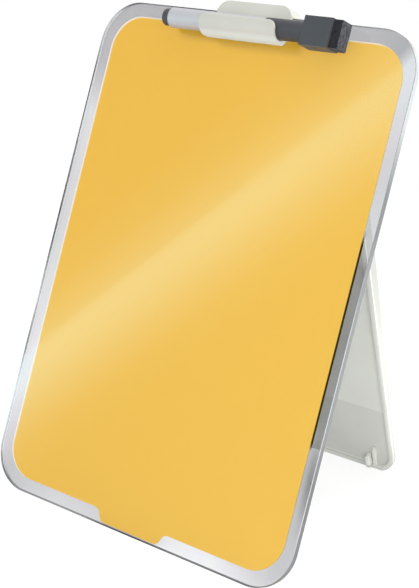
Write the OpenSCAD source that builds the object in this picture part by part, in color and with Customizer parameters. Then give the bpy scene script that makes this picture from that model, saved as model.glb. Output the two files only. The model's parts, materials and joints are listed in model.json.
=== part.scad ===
// Glass desk easel: a leaning glass writing board with a coloured field, a fold-out
// easel stand behind it and a sprung paper clip on top that holds a dry-wipe pen.
//
// Millimetres. The floor is z = 0, +Z is up and the board faces -Y. The origin lies on
// the floor, halfway across the board and halfway from its front edge to the stand's foot.
// Three local frames are used:
//   on_board()  x across, y up along the glass from its bottom edge, z out of its face
//   on_stand()  as on_board(), turned about the hinge, with the hinge axis as origin
//   along_pen() x along the pen from the closed end of its barrel, round the pen's axis

/* [Board] */
// Width of the glass
board_w = 226; // [200:1:280]
// Height of the glass
board_h = 312; // [290:1:380]
// Thickness of the glass
glass_t = 4; // [3:0.5:6]
// Radius of the glass corners
board_corner_r = 26; // [10:1:40]
// How far the board leans back from upright, in degrees
lean_angle = 23; // [16:0.5:30]
// Thickness of the steel sheet behind the colour
steel_t = 0.6; // [0.4:0.1:1.2]

/* [Colour field] */
// Clear border left round the coloured field
field_margin = 8.3; // [5:0.1:16]
// Radius of the field's corners
field_corner_r = 20.8; // [6:0.2:30]
// Width of the tab below the field, where it leaves the field
tab_top_w = 57; // [30:1:90]
// Width of the tab along its lower edge
tab_bottom_w = 38; // [20:1:80]
// Gap between the tab and the bottom edge of the glass
tab_gap = 0.9; // [0.5:0.1:4]
// How far the steel sheet stops inside the colour
steel_inset = 0.2; // [0.2:0.1:4]

/* [Stand] */
// Width of the stand
stand_w = 166; // [120:1:190]
// How far the open stand leans forward from upright, in degrees
stand_tilt = 15.8; // [8:0.1:24]
// Height of the hinge axis above the bottom edge, along the glass
hinge_y = 244.5; // [180:0.5:260]
// Thickness of the stand at its foot
stand_foot_t = 2.6; // [2.2:0.1:5]
// Thickness of the stand at the hinge
stand_hinge_t = 9.7; // [9.5:0.1:14]
// Radius of the stand's lower corners
stand_corner_r = 15; // [5:0.5:25]
// Width of the raised rim round the tray
rim_w = 3; // [2.5:0.1:6]
// How far the lower part of the tray lies below the rim
tray_depth = 1; // [0.5:0.1:1.2]
// Height above the foot at which the tray starts to deepen
crease_s = 48.8; // [30:0.5:120]
// Diameter of the two hinge pins
hinge_pin_d = 4; // [3:0.1:4.8]
// Distance from the middle to the middle of each hinge
hinge_x = 60; // [30:1:62]
// Radial play of the pins in the base
hinge_play = 0.05; // [0.02:0.01:0.1]

/* [Stand base] */
// Width of the plate that carries the stand
base_w = 150; // [144:1:170]
// Length of the plate, along the glass
base_len = 50; // [30:1:80]
// Thickness of the plate
base_t = 2.2; // [1.6:0.1:3]
// Thickness of the bonding tape
tape_t = 0.5; // [0.3:0.1:1]

/* [Clip] */
// Width of the clip
clip_w = 53.5; // [44:0.5:80]
// Wall of the pen trough
trough_wall = 2; // [1.6:0.1:3]
// Height of the hood above the glass
hood_h = 6.3; // [6:0.1:14]
// Depth of the hood behind the face of the glass
hood_depth = 9.4; // [9.3:0.1:16]
// Radius of the hood's upper corners
hood_corner_r = 8; // [4:0.5:12]
// Wall of the hood
hood_wall = 1.5; // [1.2:0.1:1.8]
// Gap left for paper between the clip and the glass
paper_gap = 0.2; // [0.1:0.05:0.5]
// Diameter of the clip's hinge pin
clip_pin_d = 2.4; // [2:0.1:2.4]
// Turns of the clip's torsion spring
spring_turns = 6; // [3:1:8]
// Wire diameter of the spring
spring_wire_d = 0.8; // [0.5:0.1:0.9]
// Distance between neighbouring turns
spring_pitch = 1.3; // [1.3:0.02:1.8]

/* [Pen] */
// Diameter of the barrel and the cap
pen_d = 12; // [9:0.5:16]
// Free space round the pen in its trough
pen_play = 0.3; // [0.2:0.05:1]
// Distance from the top edge of the glass down to the pen's axis
pen_drop = 8.9; // [8.5:0.1:14]
// How far the closed end of the barrel sticks out to the left of the middle
pen_left = 58; // [40:1:75]
// Length of the barrel with its end plug
barrel_len = 74.8; // [70:0.2:95]
// Length of the round part of the cap
cap_len = 27.2; // [24:0.2:40]
// Length of the eraser block on the cap
block_len = 18.6; // [14:0.2:26]
// Height of the eraser block
block_h = 16.7; // [14:0.1:17.8]
// How far the felt stands out of the block
felt_out = 6; // [3:0.5:10]
// Play of the cap on the nib holder, radially
cap_play = 0.05; // [0.02:0.01:0.1]

/* [Hidden] */
$fn = 64;
// Overlap that lets one cut run clear of another
cut = 1;

// Layers behind the glass, as distances from its front face
film_t = 0.2;
bond_t = 0.1;
z_glass_back = -glass_t;
z_film_back = z_glass_back - film_t;
z_bond_back = z_film_back - bond_t;
z_steel_back = z_bond_back - steel_t;
z_tape_back = z_steel_back - tape_t;
z_base_back = z_tape_back - base_t;

// Plate that carries the stand: how far it reaches above the hinge, its corners and how
// far its tape stops inside it
base_rise = 15;
base_corner_r = 8;
hinge_tape_inset = 3;

// Hinge of the stand
hinge_ear_wall = 1.9;
hinge_ear_r = hinge_pin_d / 2 + hinge_ear_wall;
hinge_ear_gap = 0.8;
ear_w = 8;
lug_w = 5.6;
lug_gap = 0.4;
hinge_z = z_base_back - hinge_ear_r - hinge_ear_gap;
rim_front = 3.5;
ear_floor_gap = 0.6;
tray_floor_top = -hinge_ear_r - ear_floor_gap;
stand_top = 8;
top_wall = 3;
stop_gap = 0.05;

// The stand's length from the hinge axis follows from its foot standing on the floor
hinge_height = hinge_y * cos(lean_angle) + (hinge_z + glass_t) * sin(lean_angle);
stand_len = (hinge_height - rim_front * sin(stand_tilt)) / cos(stand_tilt);
open_angle = stand_tilt + lean_angle;
foot_cut = stand_foot_t * tan(stand_tilt);

// Where the object's rear end lies behind the front bottom edge of the glass
hinge_back = hinge_y * sin(lean_angle) - hinge_z * cos(lean_angle);
foot_back = hinge_back + (stand_len + foot_cut) * sin(stand_tilt)
          - (rim_front - stand_foot_t) * cos(stand_tilt);
floor_lift = glass_t * sin(lean_angle);

// Pen and its trough, in board coordinates
pen_r = pen_d / 2;
trough_r = pen_r + pen_play;
clip_plate_t = 1.6;
clip_plate_front = paper_gap + clip_plate_t;
pen_z = clip_plate_front + trough_r;
pen_y = board_h - pen_drop;
trough_front = pen_z + trough_r + trough_wall;
trough_bottom = pen_y - trough_r - trough_wall;
trough_rise = 3.4;
trough_top_r = 5;

// Clip hinge, in board coordinates
clip_pin_r = clip_pin_d / 2;
clip_ear_wall = 1.1;
clip_ear_r = clip_pin_r + clip_ear_wall;
clip_ear_gap = 0.3;
clip_pivot_in = 0.8;
clip_pivot_y = board_h + hood_h - hood_wall - clip_ear_gap - clip_ear_r;
clip_pivot_z = z_base_back + clip_pivot_in;
clip_ear_x = 12;
clip_ear_w = 3;
clip_ear_len = 14;
clip_lug_gap = 0.5;
clip_lug_w = 2;
clip_pin_out = 1;
clip_pin_len = 2 * (clip_ear_x + clip_ear_w + clip_lug_gap + clip_lug_w + clip_pin_out);
clip_lug_play = 0.05;
clip_base_side = 5;
clip_base_w = 2 * (clip_ear_x + clip_ear_w + clip_base_side);
clip_base_drop = 1;
clip_base_top = board_h - clip_base_drop;
clip_base_len = 28;
clip_base_corner_r = 4;
clip_tape_inset = 2;
spring_pin_gap = 0.3;
spring_r = clip_pin_r + spring_wire_d / 2 + spring_pin_gap;

// Pen, measured along its own axis from the end plug
plug_out = 5;
plug_in = 6;
plug_step = 0.85;
plug_r = pen_r - plug_step;
plug_round = 1;
barrel_wall = 1.1;
barrel_bore_r = pen_r - barrel_wall;
barrel_end_round = 0.8;
cap_gap = 0.2;
cap_start = barrel_len + cap_gap;
cap_end = cap_start + cap_len;
block_end = cap_end + block_len;
felt_end = block_end + felt_out;
nose_r = barrel_bore_r - cap_play;
nose_len = 9;
nose_taper = 6;
holder_in = 10;
nib_r = 1.9;
nib_in = 11;
nib_out = 6;
nib_seat_wall = 0.8;
reservoir_play = 0.7;
cap_bore_past = 1.8;
cap_bore_end = cap_end + cap_bore_past;
felt_pocket = 4.8;
felt_wall = 1.6;
felt_in_y = 0.4;
felt_in_z = 1;

// Points on an arc round c, from angle a to angle b
function arc(c, r, a, b, n = 8) =
    [for (i = [0 : n]) c + r * [cos(a + (b - a) * i / n), sin(a + (b - a) * i / n)]];

// A rectangle with round corners, standing on y = 0 and centred across x
module rounded(w, h, r) {
    translate([-w / 2 + r, 0]) square([w - 2 * r, h]);
    translate([-w / 2, r]) square([w, h - 2 * r]);
    for (x = [-w / 2 + r, w / 2 - r])
        for (y = [r, h - r])
            translate([x, y]) circle(r);
}

module on_board() {
    translate([0, -foot_back / 2, floor_lift])
        rotate([90 - lean_angle, 0, 0])
            children();
}

module on_stand() {
    on_board()
        translate([0, hinge_y, hinge_z])
            rotate([open_angle, 0, 0])
                children();
}

module along_pen() {
    on_board()
        translate([-pen_left, pen_y, pen_z])
            rotate([0, 90, 0])
                children();
}

// A flat outline given as (y, z), drawn out along x from x0 over a length
module across(x0, len) {
    translate([x0, 0, 0])
        rotate([90, 0, 90])
            linear_extrude(len)
                children();
}

// A layer of the board between two distances from its face
module layer(front, back) {
    translate([0, 0, back])
        linear_extrude(front - back)
            children();
}

// The coloured field with its tab, drawn in by an inset all round
module field_outline(inset) {
    m = field_margin + inset;
    translate([0, m])
        rounded(board_w - 2 * m, board_h - 2 * m, field_corner_r - inset);
}

module tab_outline() {
    root = (tab_top_w - tab_bottom_w) / 2;
    r = 4;
    low = [tab_bottom_w / 2 - r, tab_gap + r];
    lean = atan2(field_margin - tab_gap, root);
    polygon(concat(
        [[-tab_top_w / 2, field_margin + cut]],
        arc([-low[0], low[1]], r, 180 + lean / 2, 270),
        arc(low, r, 270, 360 - lean / 2),
        [[tab_top_w / 2, field_margin + cut]]));
}

module glass_panel() {
    color([0.86, 0.93, 0.95, 0.45])
        on_board()
            layer(0, z_glass_back)
                rounded(board_w, board_h, board_corner_r);
}

module colour_layer() {
    color([0.88, 0.6, 0.12])
        on_board()
            layer(z_glass_back, z_film_back) {
                field_outline(0);
                tab_outline();
            }
}

module bond_film() {
    color([0.95, 0.95, 0.92])
        on_board()
            layer(z_film_back, z_bond_back)
                field_outline(steel_inset);
}

module steel_sheet() {
    color([0.8, 0.8, 0.78])
        on_board()
            layer(z_bond_back, z_steel_back)
                field_outline(steel_inset);
}

// Plates of the stand's base: the same outline serves the tape, a little smaller
module base_outline(inset) {
    translate([0, hinge_y + base_rise - base_len + inset])
        rounded(base_w - 2 * inset, base_len - 2 * inset, base_corner_r - inset);
}

module hinge_tape() {
    color([0.25, 0.25, 0.26])
        on_board()
            layer(z_steel_back, z_tape_back)
                base_outline(hinge_tape_inset);
}

// One ear of the base: a wall off the plate with a round end on the hinge axis
module hinge_ear(x) {
    across(x - ear_w / 2, ear_w)
        difference() {
            union() {
                translate([hinge_y - hinge_ear_r, hinge_z])
                    square([2 * hinge_ear_r, z_base_back - hinge_z + cut]);
                translate([hinge_y, hinge_z]) circle(hinge_ear_r);
            }
            translate([hinge_y, hinge_z]) circle(hinge_pin_d / 2 + hinge_play);
        }
}

module hinge_base() {
    color([0.9, 0.89, 0.84])
        on_board() {
            layer(z_tape_back, z_base_back)
                base_outline(0);
            hinge_ear(-hinge_x);
            hinge_ear(hinge_x);
        }
}

module hinge_pin(x) {
    pin_len = ear_w + 2 * (lug_gap + lug_w);
    color([0.7, 0.7, 0.72])
        on_stand()
            translate([x - pin_len / 2, 0, 0])
                rotate([0, 90, 0])
                    cylinder(pin_len, d = hinge_pin_d);
}

module hinge_pin_left() {
    hinge_pin(-hinge_x);
}

module hinge_pin_right() {
    hinge_pin(hinge_x);
}

// How far the stand's back face lies behind the hinge axis, at height v along the stand
function stand_back(v) =
    rim_front - stand_foot_t - (stand_hinge_t - stand_foot_t) * (v + stand_len) / stand_len;

// Height of the face that stops against the base plate when the stand is open
function stop_front(v) =
    (hinge_ear_r + hinge_ear_gap - stop_gap - v * sin(open_angle)) / cos(open_angle);

module stand_profile() {
    stop_start = (hinge_ear_r + hinge_ear_gap - stop_gap - rim_front * cos(open_angle))
               / sin(open_angle);
    back_r = 2.5;
    polygon(concat(
        [[-stand_len, rim_front],
         [-stand_len - foot_cut, rim_front - stand_foot_t]],
        arc([stand_top - back_r, stand_back(stand_top) + back_r], back_r, -90, 0),
        [[stand_top, stop_front(stand_top)],
         [stop_start, rim_front]]));
}

module stand_outline(inset) {
    long = stand_len + foot_cut + stand_top;
    translate([0, -stand_len - foot_cut + inset])
        rounded(stand_w - 2 * inset, long + stand_corner_r - inset, stand_corner_r - inset);
}

// The hollow of the tray: level up to the crease, then deeper towards the hinge
module tray_hollow() {
    slope = 3;
    intersection() {
        across(-stand_w / 2, stand_w)
            polygon([
                [-stand_len + rim_w, rim_front + cut],
                [-stand_len + rim_w, rim_front],
                [-stand_len + rim_w + slope, rim_front - tray_depth],
                [-stand_len + crease_s, rim_front - tray_depth],
                [stand_top - top_wall, tray_floor_top],
                [stand_top - top_wall, rim_front + cut]]);
        translate([0, 0, -stand_hinge_t])
            linear_extrude(2 * stand_hinge_t)
                stand_outline(rim_w);
    }
}

// A lug of the stand beside an ear of the base
module stand_lug(x0) {
    root = 0.8;
    across(x0, lug_w)
        difference() {
            union() {
                circle(hinge_ear_r);
                translate([-hinge_ear_r, tray_floor_top - root])
                    square([2 * hinge_ear_r, root - tray_floor_top]);
            }
            circle(d = hinge_pin_d);
        }
}

// Clear space for the stand's half of one hinge
module hinge_window(x) {
    wide = ear_w + 2 * lug_gap;
    low = hinge_ear_r + 1.5;
    translate([x - wide / 2, -low, tray_floor_top])
        cube([wide, stand_top + low + cut, stand_hinge_t]);
}

// A small upright rib on the tray's floor, a distance in from the stand's side, with a
// slope at its upper end
module latch_rib(side_gap, rib_t, from, to, proud, slope) {
    root = stand_foot_t / 2;
    across(stand_w / 2 - side_gap - rib_t / 2, rib_t)
        polygon([
            [-stand_len + from, rim_front - root],
            [-stand_len + to, rim_front - root],
            [-stand_len + to, rim_front],
            [-stand_len + to - slope, rim_front + proud],
            [-stand_len + from, rim_front + proud]]);
}

// The pair of ribs near each lower corner of the tray
module latch_ribs() {
    latch_rib(side_gap = 18.2, rib_t = 2.4, from = 2.2, to = 11.5, proud = 3.2, slope = 1.2);
    latch_rib(side_gap = 13.9, rib_t = 1.8, from = 4, to = 18, proud = 1.3, slope = 3);
}

module easel_stand() {
    color([0.91, 0.9, 0.85])
        on_stand() {
            difference() {
                intersection() {
                    across(-stand_w / 2, stand_w)
                        stand_profile();
                    translate([0, 0, -2 * stand_hinge_t])
                        linear_extrude(3 * stand_hinge_t)
                            stand_outline(0);
                }
                tray_hollow();
                hinge_window(-hinge_x);
                hinge_window(hinge_x);
            }
            for (x = [-hinge_x, hinge_x]) {
                stand_lug(x - ear_w / 2 - lug_gap - lug_w);
                stand_lug(x + ear_w / 2 + lug_gap);
            }
            latch_ribs();
            mirror([1, 0, 0])
                latch_ribs();
        }
}

module clip_base_outline(inset) {
    translate([0, clip_base_top - clip_base_len + inset])
        rounded(clip_base_w - 2 * inset, clip_base_len - 2 * inset, clip_base_corner_r - inset);
}

module clip_tape() {
    edge = steel_inset + 1;
    color([0.25, 0.25, 0.26])
        on_board()
            layer(z_steel_back, z_tape_back)
                intersection() {
                    clip_base_outline(clip_tape_inset);
                    field_outline(edge);
                }
}

module clip_ear(x0) {
    across(x0, clip_ear_w)
        difference() {
            union() {
                translate([clip_pivot_y, clip_pivot_z]) circle(clip_ear_r);
                translate([clip_pivot_y - clip_ear_len, clip_pivot_z - clip_ear_r])
                    square([clip_ear_len, z_tape_back - clip_pivot_z + clip_ear_r]);
            }
            translate([clip_pivot_y, clip_pivot_z]) circle(clip_pin_r);
        }
}

module clip_base() {
    color([0.9, 0.89, 0.84])
        on_board() {
            layer(z_tape_back, z_base_back)
                clip_base_outline(0);
            clip_ear(clip_ear_x);
            clip_ear(-clip_ear_x - clip_ear_w);
        }
}

module clip_pin() {
    color([0.7, 0.7, 0.72])
        on_board()
            translate([-clip_pin_len / 2, clip_pivot_y, clip_pivot_z])
                rotate([0, 90, 0])
                    cylinder(clip_pin_len, r = clip_pin_r);
}

// Centre line of the torsion spring round the clip's pin: a leg down the back of the base
// plate, the turns, and a leg up to the roof of the hood behind the pin. Each leg ends at
// a small gap from what it presses on. Angles run from +y towards +z.
spring_rings = 8;
spring_len = spring_turns * spring_pitch;
spring_from = 262;
spring_last = 250;
spring_to = spring_last + 360 * spring_turns;
spring_steps = ceil((spring_to - spring_from) / 360 * spring_rings);
leg_play = 0.05;
leg_on_base = 5;
leg_behind = 0.6;
leg_gap = spring_wire_d / 2 + leg_play;
leg_down = clip_pivot_y - clip_base_top + leg_on_base;
leg_down_z = z_base_back - clip_pivot_z - leg_gap;
leg_up = clip_ear_r + clip_ear_gap - leg_gap;
leg_up_z = -clip_ear_r - clip_ear_gap - leg_behind;
spring_path = concat(
    [[-spring_len / 2, -leg_down, leg_down_z],
     [-spring_len / 2, -spring_r, (leg_down_z - 2 * spring_r) / 3]],
    [for (i = [0 : spring_steps])
        let (a = spring_from + (spring_to - spring_from) * i / spring_steps)
        [-spring_len / 2 + spring_len * i / spring_steps,
         spring_r * cos(a), spring_r * sin(a)]],
    [[spring_len / 2, leg_up, leg_up_z]]);

// Least gap between points of the spring that are over half a turn apart
far_rings = spring_rings / 2 + 2;
spring_gaps = [
    for (i = [0 : len(spring_path) - 1])
        for (j = [i + far_rings : 1 : len(spring_path) - 1])
            norm(spring_path[i] - spring_path[j]) - spring_wire_d];
echo(spring_least_gap = min(spring_gaps));

// A round wire of six sides along a path
module wire(path, d) {
    sides = 6;
    last = len(path) - 1;
    across_dir = [0, 0.26, 0.97];
    rings = [for (i = [0 : last])
        let (ahead = path[min(i + 1, last)] - path[max(i - 1, 0)],
             t = ahead / norm(ahead),
             radial = abs(t[0]) > 0.9 ? across_dir : [1, 0, 0],
             u0 = cross(t, radial),
             u = u0 / norm(u0),
             w = cross(t, u))
        [for (k = [0 : sides - 1])
            path[i] + d / 2 * (cos(360 * k / sides) * u + sin(360 * k / sides) * w)]];
    points = [for (ring = rings) for (p = ring) p];
    walls = [for (i = [0 : last - 1]) for (k = [0 : sides - 1])
        let (a = i * sides + k,
             b = i * sides + (k + 1) % sides,
             c = b + sides,
             e = a + sides)
        each [[a, b, c], [a, c, e]]];
    start = [for (k = [1 : sides - 2]) [0, k + 1, k]];
    end = [for (k = [1 : sides - 2]) [last * sides, last * sides + k, last * sides + k + 1]];
    polyhedron(points, [for (f = concat(walls, start, end)) [f[0], f[2], f[1]]]);
}

module clip_spring() {
    color([0.62, 0.62, 0.64])
        on_board()
            translate([0, clip_pivot_y, clip_pivot_z])
                wire(spring_path, spring_wire_d);
}

// Section of the clip's plate and trough: round inside, with a bevelled tip on the glass
module trough_section() {
    tip_y = pen_y - 4.6;
    bevel_z = paper_gap + 4;
    top = pen_y + trough_rise;
    edge_r = trough_wall / 2;
    plate_top = board_h + 1;
    polygon(concat(
        [[plate_top, paper_gap],
         [tip_y, paper_gap],
         [trough_bottom, bevel_z],
         [trough_bottom, pen_z]],
        arc([pen_y, pen_z], trough_r + trough_wall, 180, 90, 16),
        arc([top - edge_r, trough_front - edge_r], edge_r, 90, -90, 8),
        arc([pen_y, pen_z], trough_r, 90, 270, 32),
        [[plate_top, clip_plate_front]]));
}

// The front wall's upper corners are round
module trough_corner_cut() {
    top = pen_y + trough_rise;
    r = trough_top_r;
    translate([clip_w / 2 - r, top - r, pen_z])
        difference() {
            cube([r + cut, r + cut, trough_r + trough_wall + cut]);
            translate([0, 0, -cut])
                cylinder(trough_r + trough_wall + 3 * cut, r = r);
        }
}

// The hood's outline seen from the front, drawn in by an inset
module hood_outline(inset) {
    edge_gap = 0.4;
    bottom = board_h + edge_gap;
    r = hood_corner_r - inset;
    intersection() {
        translate([0, bottom - 2 * hood_corner_r])
            rounded(clip_w - 2 * inset, board_h + hood_h - inset - bottom + 2 * hood_corner_r, r);
        translate([-clip_w, bottom - (inset > 0 ? cut : 0)])
            square([2 * clip_w, hood_h + cut]);
    }
}

module hood() {
    difference() {
        layer(clip_plate_front, -hood_depth)
            hood_outline(0);
        layer(paper_gap, -hood_depth - cut)
            hood_outline(hood_wall);
    }
}

// A rib inside the hood that turns on the pin
module clip_lug(x0) {
    glass_gap = 0.6;
    low = board_h + glass_gap;
    across(x0, clip_lug_w)
        difference() {
            union() {
                translate([clip_pivot_y, clip_pivot_z]) circle(clip_ear_r);
                translate([low, clip_pivot_z])
                    square([board_h + hood_h - hood_wall / 2 - low,
                            clip_plate_front - hood_wall / 2 - clip_pivot_z]);
                translate([clip_pivot_y, clip_pivot_z - clip_ear_r])
                    square([board_h + hood_h - hood_wall / 2 - clip_pivot_y, clip_ear_r + cut]);
            }
            translate([clip_pivot_y, clip_pivot_z]) circle(clip_pin_r + clip_lug_play);
        }
}

module pen_clip() {
    lug_x = clip_ear_x + clip_ear_w + clip_lug_gap;
    color([0.91, 0.9, 0.85])
        on_board() {
            difference() {
                across(-clip_w / 2, clip_w)
                    trough_section();
                trough_corner_cut();
                mirror([1, 0, 0])
                    trough_corner_cut();
            }
            hood();
            clip_lug(lug_x);
            clip_lug(-lug_x - clip_lug_w);
        }
}

// A straight round piece of the pen between two distances from its closed end
module rod(from, to, r) {
    translate([0, 0, from])
        cylinder(to - from, r = r);
}

module pen_barrel() {
    color([0.77, 0.77, 0.8])
        along_pen()
            rotate_extrude()
                polygon(concat(
                    [[barrel_bore_r, plug_out]],
                    arc([pen_r - barrel_end_round, plug_out + barrel_end_round],
                        barrel_end_round, -90, 0, 5),
                    [[pen_r, barrel_len],
                     [barrel_bore_r, barrel_len]]));
}

module pen_end_plug() {
    color([0.22, 0.23, 0.25])
        along_pen()
            rotate_extrude()
                polygon(concat(
                    [[0, 0]],
                    arc([plug_r - plug_round, plug_round], plug_round, -90, 0, 5),
                    [[plug_r, plug_out],
                     [barrel_bore_r, plug_out],
                     [barrel_bore_r, plug_out + plug_in],
                     [0, plug_out + plug_in]]));
}

module ink_reservoir() {
    color([0.93, 0.93, 0.9])
        along_pen()
            rod(plug_out + plug_in, barrel_len - nib_in, barrel_bore_r - reservoir_play);
}

// The nib holder plugs into the barrel and its nose carries the cap
module nib_holder() {
    start = barrel_len - holder_in;
    nose_full = cap_start + nose_len;
    nose_end = nose_full + nose_taper;
    color([0.16, 0.16, 0.18])
        along_pen()
            rotate_extrude()
                polygon([
                    [nib_r, start],
                    [barrel_bore_r, start],
                    [barrel_bore_r, barrel_len],
                    [nose_r, barrel_len],
                    [nose_r, nose_full],
                    [nib_r + nib_seat_wall, nose_end],
                    [nib_r, nose_end]]);
}

module pen_nib() {
    start = barrel_len - nib_in;
    tip = cap_start + nose_len + nose_taper + nib_out;
    color([0.1, 0.1, 0.12])
        along_pen()
            rotate_extrude()
                polygon(concat(
                    [[0, start],
                     [nib_r, start]],
                    arc([0, tip - nib_r], nib_r, 0, 90, 6)));
}

// A box on the pen's axis, as deep as the pen, drawn in on its height and its depth
module pen_block(from, to, in_y, in_z) {
    translate([-pen_r + in_z, -block_h / 2 + in_y, from])
        cube([2 * (pen_r - in_z), block_h - 2 * in_y, to - from]);
}

module pen_cap() {
    color([0.32, 0.33, 0.36])
        along_pen()
            difference() {
                union() {
                    rod(cap_start, cap_end + cut, pen_r);
                    pen_block(cap_end, block_end, 0, 0);
                }
                rod(cap_start - cut, cap_bore_end, barrel_bore_r);
                pen_block(block_end - felt_pocket, block_end + cut, felt_wall, felt_wall);
            }
}

module eraser_felt() {
    color([0.2, 0.2, 0.22])
        along_pen() {
            pen_block(block_end - felt_pocket, block_end + felt_out / 2, felt_wall, felt_wall);
            pen_block(block_end, felt_end, felt_in_y, felt_in_z);
        }
}

glass_panel();
colour_layer();
bond_film();
steel_sheet();
hinge_tape();
hinge_base();
hinge_pin_left();
hinge_pin_right();
easel_stand();
clip_tape();
clip_base();
clip_pin();
clip_spring();
pen_clip();
pen_barrel();
pen_end_plug();
ink_reservoir();
nib_holder();
pen_nib();
pen_cap();
eraser_felt();
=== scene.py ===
"""Looks of the desk whiteboard easel, built round its fixed frame.

Metres, +Z up, the board faces -Y. Pieces are drawn in the board's own axes (x across, y up
along the glass from its bottom edge, z out of its face) and stored in the world's by the
matrix BOARD. The materials turn their places back to the board's axes, or the stand's: there
y is 0 at the hinge and -STAND_LEN at the foot, and z points out of the tray.
"""

import json
import math

import bmesh
import bpy
from mathutils import Matrix, Vector
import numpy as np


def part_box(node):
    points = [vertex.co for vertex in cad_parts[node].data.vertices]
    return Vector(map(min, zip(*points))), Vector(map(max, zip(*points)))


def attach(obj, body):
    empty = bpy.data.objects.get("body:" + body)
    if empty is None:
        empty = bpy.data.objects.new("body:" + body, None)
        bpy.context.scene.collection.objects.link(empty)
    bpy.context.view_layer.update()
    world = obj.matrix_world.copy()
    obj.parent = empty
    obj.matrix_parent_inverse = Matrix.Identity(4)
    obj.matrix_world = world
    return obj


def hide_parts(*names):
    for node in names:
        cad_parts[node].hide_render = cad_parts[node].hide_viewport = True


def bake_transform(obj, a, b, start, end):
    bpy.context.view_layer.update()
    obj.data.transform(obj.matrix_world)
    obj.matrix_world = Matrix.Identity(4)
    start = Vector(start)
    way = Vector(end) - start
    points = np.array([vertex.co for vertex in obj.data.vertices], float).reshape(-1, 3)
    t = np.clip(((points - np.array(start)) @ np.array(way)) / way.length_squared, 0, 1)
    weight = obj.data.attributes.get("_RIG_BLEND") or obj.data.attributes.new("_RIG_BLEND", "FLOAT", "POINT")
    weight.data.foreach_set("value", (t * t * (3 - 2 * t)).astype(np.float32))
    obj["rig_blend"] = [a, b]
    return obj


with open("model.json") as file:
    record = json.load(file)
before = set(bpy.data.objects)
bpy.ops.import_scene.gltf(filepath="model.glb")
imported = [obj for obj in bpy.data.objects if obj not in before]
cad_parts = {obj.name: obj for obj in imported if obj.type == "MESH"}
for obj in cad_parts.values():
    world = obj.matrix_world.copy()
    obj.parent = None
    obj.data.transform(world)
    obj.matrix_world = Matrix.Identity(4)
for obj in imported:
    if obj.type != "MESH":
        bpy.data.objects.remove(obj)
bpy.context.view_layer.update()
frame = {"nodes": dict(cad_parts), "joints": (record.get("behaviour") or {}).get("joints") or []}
MM = 0.001

# ---------------------------------------------------------------- sizes and places

LEAN = math.radians(23)
GLASS_T = 4 * MM
GLASS_CORNER_R = 26 * MM
FIELD_MARGIN = 8.3 * MM
FIELD_CORNER_R = 20.8 * MM
TAB_TOP_W = 57 * MM
TAB_BOTTOM_W = 38 * MM
TAB_GAP = 0.9 * MM
STEEL_INSET = 0.2 * MM
STAND_OPEN = math.radians(38.8)
STAND_W = 166 * MM
STAND_LEN = 229.54 * MM
STAND_CORNER_R = 15 * MM
RIM_W = 3 * MM
CREASE = 48.8 * MM

CLIP_PIN_R = 1.2 * MM
SPRING_TURNS = 6
SPRING_PITCH = 1.3 * MM
SPRING_WIRE_R = 0.4 * MM
SPRING_PIN_GAP = 0.3 * MM

# The camera's place in the board's axes and how it is turned in the world's.
CAMERA_PLACE = Vector((463.02 * MM, 164.50 * MM, 613.78 * MM))
CAMERA_TURN = (math.radians(70.419), math.radians(0.003), math.radians(38.595))
CAMERA_LENS = 80.912

# How strongly the white world lights the object, and where the lamps point.
AMBIENT = 0.56
LAMP_AIM = (0, 0, 0.15)

CREAM = (0.56, 0.557, 0.505)
# The stand's cream is the clip's plastic written paler, as painted light, since the board shades the stand.
STAND_CREAM_PAINTED_LIGHT = (0.74, 0.755, 0.70)
DARK_GREY = (0.042, 0.042, 0.049)
WHITE = (1, 1, 1, 1)
GLASS_IOR = 1.5

glass_lo, glass_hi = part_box("glass_panel")
BOARD_W = glass_hi.x - glass_lo.x
BOARD_H = (glass_hi.z - glass_lo.z - GLASS_T * math.sin(LEAN)) / math.cos(LEAN)
BOARD = (Matrix.Translation((0, glass_lo.y, GLASS_T * math.sin(LEAN)))
         @ Matrix.Rotation(math.radians(90) - LEAN, 4, "X"))
TO_BOARD = BOARD.inverted()

joint_at = {j["name"]: Vector(j["pos_m"]) for j in frame["joints"] if "pos_m" in j}
CLIP_PIVOT = TO_BOARD @ joint_at["clip_hinge"]
STAND = (BOARD @ Matrix.Translation(TO_BOARD @ joint_at["stand_hinge"])
         @ Matrix.Rotation(STAND_OPEN, 4, "X"))
TO_STAND = STAND.inverted()


def board_box(node):
    """Lowest and highest corner of a CAD node, in the board's axes."""
    points = [TO_BOARD @ v.co for v in frame["nodes"][node].data.vertices]
    low = Vector([min(p[i] for p in points) for i in range(3)])
    high = Vector([max(p[i] for p in points) for i in range(3)])
    return low, high


# ---------------------------------------------------------------- outlines and meshes

def arc(centre, r, start, end, steps):
    """Points on an arc round centre, from one angle to another in degrees."""
    points = []
    for i in range(steps + 1):
        a = math.radians(start + (end - start) * i / steps)
        points.append(Vector((centre[0] + r * math.cos(a), centre[1] + r * math.sin(a))))
    return points


def rounded_outline(w, h, r, bottom=0.0, steps=24):
    """A rectangle with round corners, centred across x, anticlockwise from its lower left."""
    x, low, top = w / 2 - r, bottom + r, bottom + h - r
    return (arc((-x, low), r, 180, 270, steps) + arc((x, low), r, 270, 360, steps)
            + arc((x, top), r, 0, 90, steps) + arc((-x, top), r, 90, 180, steps))


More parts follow.
